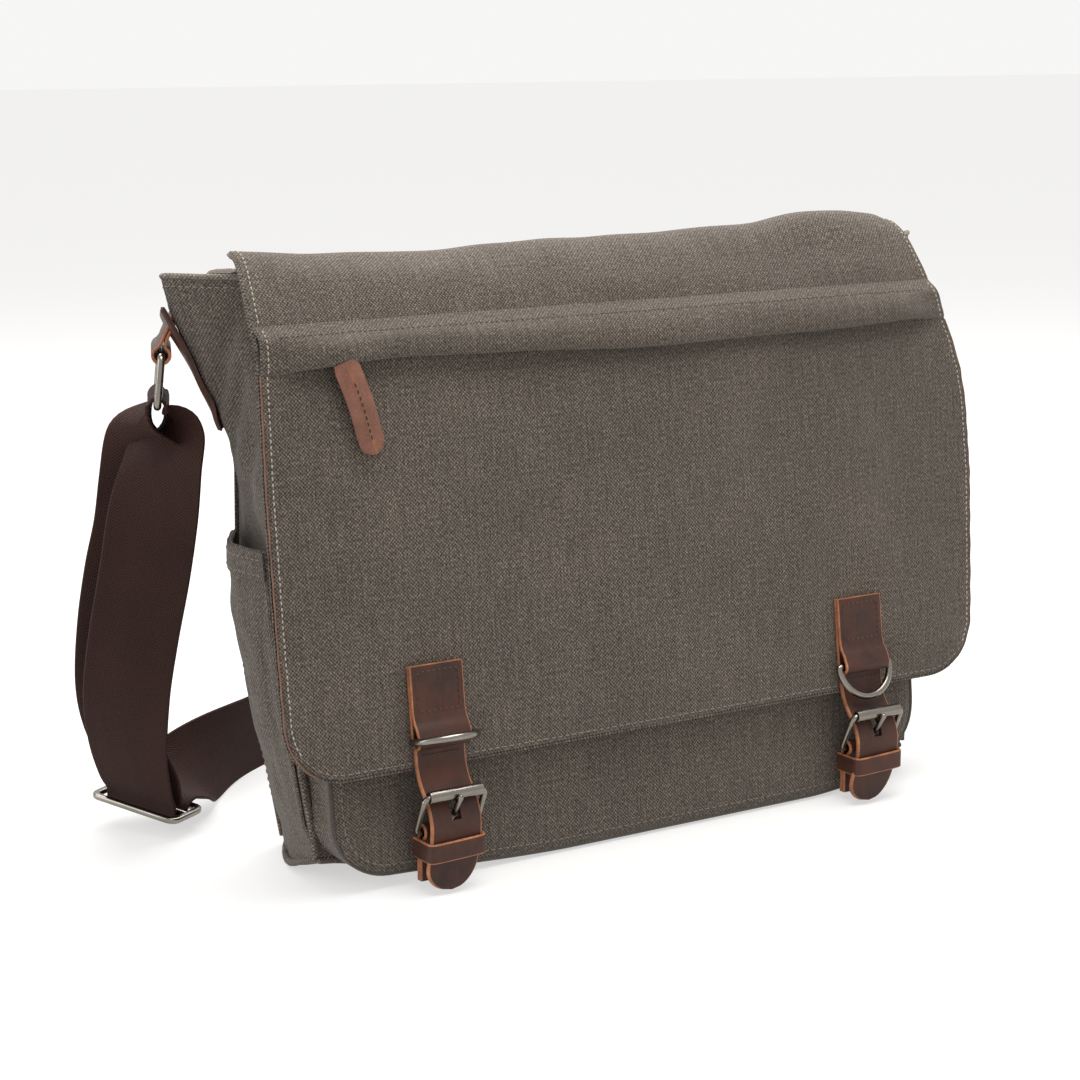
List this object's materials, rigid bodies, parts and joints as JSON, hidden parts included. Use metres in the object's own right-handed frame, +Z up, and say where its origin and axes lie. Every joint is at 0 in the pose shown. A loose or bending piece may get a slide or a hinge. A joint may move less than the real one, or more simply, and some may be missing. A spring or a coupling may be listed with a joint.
{
  "type": "messenger bag",
  "caption": "Canvas messenger bag with a full front flap, zipped welt pocket, buckled leather straps, side pockets and a webbing shoulder strap.",
  "frame": {"origin": "on the surface that the bag stands on, halfway along the width and 8 mm in front of the back panel's foot", "axes": "+X along the width to the bag's right as seen from the front, -Y towards the front flap, +Z up"},
  "size_m": [0.4468, 0.2862, 0.264],
  "materials": {
    "canvas": "washed taupe cotton canvas",
    "edging": "dark woven binding",
    "lining": "plain polyester lining",
    "stiffener": "pressed board",
    "strap_leather": "chestnut, satin, tan cut edges",
    "pull_leather": "lighter brown, matte",
    "hardware": "dark nickel, polished",
    "zip_metal": "dark nickel",
    "zip_tape": "woven tape",
    "webbing": "espresso herringbone webbing"
  },
  "bodies": {
    "root": {"front_panel": "canvas", "back_panel": "canvas", "base_panel": "canvas", "left_gusset": "canvas", "right_gusset": "canvas", "base_board": "stiffener", "lining": "lining", "sleeve_divider": "lining", "rim_facing": "lining", "front_pocket_face": "canvas", "front_pocket_gusset": "canvas", "front_pocket_piping": "edging", "side_pocket_left": "canvas", "side_pocket_hem_left": "canvas", "side_tab_left": "strap_leather", "snap_socket_left": "hardware", "side_pocket_right": "canvas", "side_pocket_hem_right": "canvas", "side_tab_right": "strap_leather", "snap_socket_right": "hardware"},
    "flap_top": {"flap_top_panel": "canvas"},
    "flap_front": {"flap_upper_panel": "canvas", "flap_lower_panel": "canvas", "welt": "canvas", "zip_tape": "zip_tape", "zip_teeth": "zip_metal", "zip_stop_left": "zip_metal", "zip_stop_right": "zip_metal", "flap_backing": "lining", "zip_pocket_bag": "lining", "flap_edge_binding": "strap_leather", "strap_tab_left": "strap_leather", "billet_left": "strap_leather", "chape_left": "strap_leather", "keeper_left": "strap_leather", "snap_stud_left": "hardware", "strap_tab_right": "strap_leather", "billet_right": "strap_leather", "chape_right": "strap_leather", "keeper_right": "strap_leather", "snap_stud_right": "hardware"},
    "zip_slider": {"zip_slider": "zip_metal"},
    "zip_pull": {"zip_pull": "pull_leather", "pull_bail": "zip_metal"},
    "shoulder_strap": {"strap_webbing": "webbing", "strap_adjuster": "hardware", "strap_ring_left": "hardware", "strap_ring_right": "hardware", "ring_loop_left": "strap_leather", "ring_loop_right": "strap_leather"},
    "d_ring_left": {"d_ring_left": "hardware"},
    "buckle_left": {"buckle_frame_left": "hardware"},
    "roller_left": {"roller_left": "hardware"},
    "prong_left": {"prong_left": "hardware"},
    "d_ring_right": {"d_ring_right": "hardware"},
    "buckle_right": {"buckle_frame_right": "hardware"},
    "roller_right": {"roller_right": "hardware"},
    "prong_right": {"prong_right": "hardware"}
  },
  "joints": [
    {"name": "flap_hinge", "type": "hinge", "parent": "root", "child": "flap_top", "pos_m": [0, 0.036, 0.251], "axis": [-1, 0, 0], "range_deg": [0, 195]},
    {"name": "flap_fold", "type": "hinge", "parent": "flap_top", "child": "flap_front", "pos_m": [0, -0.024, 0.2646], "axis": [-1, 0, 0], "range_deg": [0, 78]},
    {"name": "zip_slide", "type": "slide", "parent": "flap_front", "child": "zip_slider", "axis": [1, 0, 0], "range_m": [0, 0.29]},
    {"name": "pull_swing", "type": "hinge", "parent": "zip_slider", "child": "zip_pull", "pos_m": [-0.146, -0.05764, 0.21697], "axis": [-1, 0, 0], "range_deg": [0, 110]},
    {"name": "strap_swing", "type": "hinge", "parent": "root", "child": "shoulder_strap", "pos_m": [0, 0.02, 0.219], "axis": [1, 0, 0], "range_deg": [0, 20]},
    {"name": "d_ring_left_swing", "type": "hinge", "parent": "flap_front", "child": "d_ring_left", "pos_m": [-0.112, -0.07479, 0.06292], "axis": [-1, 0, 0], "range_deg": [-85, 55]},
    {"name": "buckle_left_swing", "type": "hinge", "parent": "flap_front", "child": "buckle_left", "pos_m": [-0.112, -0.0775, 0.025], "axis": [1, 0, 0], "range_deg": [0, 4]},
    {"name": "roller_left_spin", "type": "hinge", "parent": "buckle_left", "child": "roller_left", "pos_m": [-0.112, -0.0855, 0.042], "axis": [1, 0, 0], "continuous": true},
    {"name": "prong_left_swing", "type": "hinge", "parent": "buckle_left", "child": "prong_left", "pos_m": [-0.112, -0.0775, 0.025], "axis": [1, 0, 0], "range_deg": [0, 7]},
    {"name": "d_ring_right_swing", "type": "hinge", "parent": "flap_front", "child": "d_ring_right", "pos_m": [0.112, -0.07479, 0.06292], "axis": [-1, 0, 0], "range_deg": [0, 140]},
    {"name": "buckle_right_swing", "type": "hinge", "parent": "flap_front", "child": "buckle_right", "pos_m": [0.112, -0.0775, 0.025], "axis": [1, 0, 0], "range_deg": [0, 4]},
    {"name": "roller_right_spin", "type": "hinge", "parent": "buckle_right", "child": "roller_right", "pos_m": [0.112, -0.0855, 0.042], "axis": [1, 0, 0], "continuous": true},
    {"name": "prong_right_swing", "type": "hinge", "parent": "buckle_right", "child": "prong_right", "pos_m": [0.112, -0.0775, 0.025], "axis": [1, 0, 0], "range_deg": [0, 7]}
  ],
  "couplings": [
    {"joint": "flap_fold", "follows": "flap_hinge", "ratio": 0.4}
  ]
}
